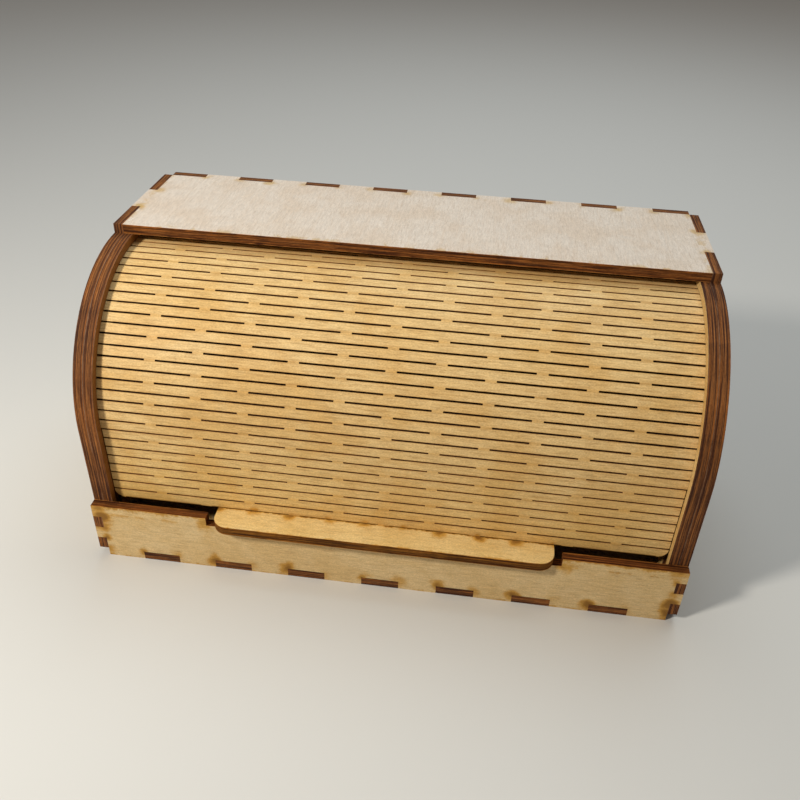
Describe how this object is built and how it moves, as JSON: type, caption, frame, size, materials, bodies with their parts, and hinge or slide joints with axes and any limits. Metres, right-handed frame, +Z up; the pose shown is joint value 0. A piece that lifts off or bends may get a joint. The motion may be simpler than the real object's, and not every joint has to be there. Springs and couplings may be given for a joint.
{
  "type": "bread box with roll top",
  "caption": "Finger-jointed plywood bread box with a flat-bottomed case, a round front and a kerfed roll-up door with a board handle.",
  "frame": {"origin": "on the base, in the middle of its width, straight under the axis of the round front", "axes": "+X to the right seen from the front, +Y to the back, +Z up; the door and handle face -Y"},
  "size_m": [0.31, 0.1652, 0.16],
  "materials": {
    "case_ply": "bare birch plywood with laser-charred edges",
    "top_ply": "bare pale birch plywood",
    "strip_ply": "bare birch plywood with scorched corners",
    "rail_ply": "bare birch plywood with laser-charred edges",
    "door_ply": "bare golden birch plywood with kerfs",
    "handle_ply": "bare birch plywood with laser-charred edges"
  },
  "bodies": {
    "case": {"bottom_panel": "case_ply", "back_panel": "case_ply", "top_panel": "top_ply", "front_strip": "strip_ply", "left_side": "case_ply", "right_side": "case_ply", "left_front_rail": "rail_ply", "right_front_rail": "rail_ply", "left_rear_rail": "rail_ply", "right_rear_rail": "rail_ply", "left_inner_rail": "rail_ply", "right_inner_rail": "rail_ply"},
    "door": {"door_sheet": "door_ply"},
    "slat_1": {"door_slat_1": "door_ply"},
    "slat_2": {"door_slat_2": "door_ply"},
    "slat_3": {"door_slat_3": "door_ply"},
    "slat_4": {"door_slat_4": "door_ply"},
    "slat_5": {"door_slat_5": "door_ply"},
    "slat_6": {"door_slat_6": "door_ply"},
    "slat_7": {"door_slat_7": "door_ply"},
    "slat_8": {"door_slat_8": "door_ply", "handle": "handle_ply"}
  },
  "joints": [
    {"name": "door_roll", "type": "hinge", "parent": "case", "child": "door", "pos_m": [0, 0, 0.08], "axis": [-1, 0, 0], "range_deg": [0, 127.75]},
    {"name": "curl_1", "type": "hinge", "parent": "door", "child": "slat_1", "pos_m": [0, -0.0655, 0.08], "axis": [1, 0, 0], "range_deg": [0, 2.47]},
    {"name": "curl_2", "type": "hinge", "parent": "slat_1", "child": "slat_2", "pos_m": [0, -0.0655, 0.0744], "axis": [1, 0, 0], "range_deg": [0, 4.92]},
    {"name": "curl_3", "type": "hinge", "parent": "slat_2", "child": "slat_3", "pos_m": [0, -0.0655, 0.0688], "axis": [1, 0, 0], "range_deg": [0, 4.92]},
    {"name": "curl_4", "type": "hinge", "parent": "slat_3", "child": "slat_4", "pos_m": [0, -0.0655, 0.0632], "axis": [1, 0, 0], "range_deg": [0, 4.92]},
    {"name": "curl_5", "type": "hinge", "parent": "slat_4", "child": "slat_5", "pos_m": [0, -0.0655, 0.0576], "axis": [1, 0, 0], "range_deg": [0, 4.92]},
    {"name": "curl_6", "type": "hinge", "parent": "slat_5", "child": "slat_6", "pos_m": [0, -0.0655, 0.052], "axis": [1, 0, 0], "range_deg": [0, 4.92]},
    {"name": "curl_7", "type": "hinge", "parent": "slat_6", "child": "slat_7", "pos_m": [0, -0.0655, 0.0464], "axis": [1, 0, 0], "range_deg": [0, 4.92]},
    {"name": "curl_8", "type": "hinge", "parent": "slat_7", "child": "slat_8", "pos_m": [0, -0.0655, 0.0408], "axis": [1, 0, 0], "range_deg": [0, 4.92]}
  ],
  "couplings": [
    {"joint": "curl_1", "follows": "door_roll", "ratio": 0.019178},
    {"joint": "curl_2", "follows": "door_roll", "ratio": 0.038357},
    {"joint": "curl_3", "follows": "door_roll", "ratio": 0.038357},
    {"joint": "curl_4", "follows": "door_roll", "ratio": 0.038357},
    {"joint": "curl_5", "follows": "door_roll", "ratio": 0.038357},
    {"joint": "curl_6", "follows": "door_roll", "ratio": 0.038357},
    {"joint": "curl_7", "follows": "door_roll", "ratio": 0.038357},
    {"joint": "curl_8", "follows": "door_roll", "ratio": 0.038357}
  ]
}
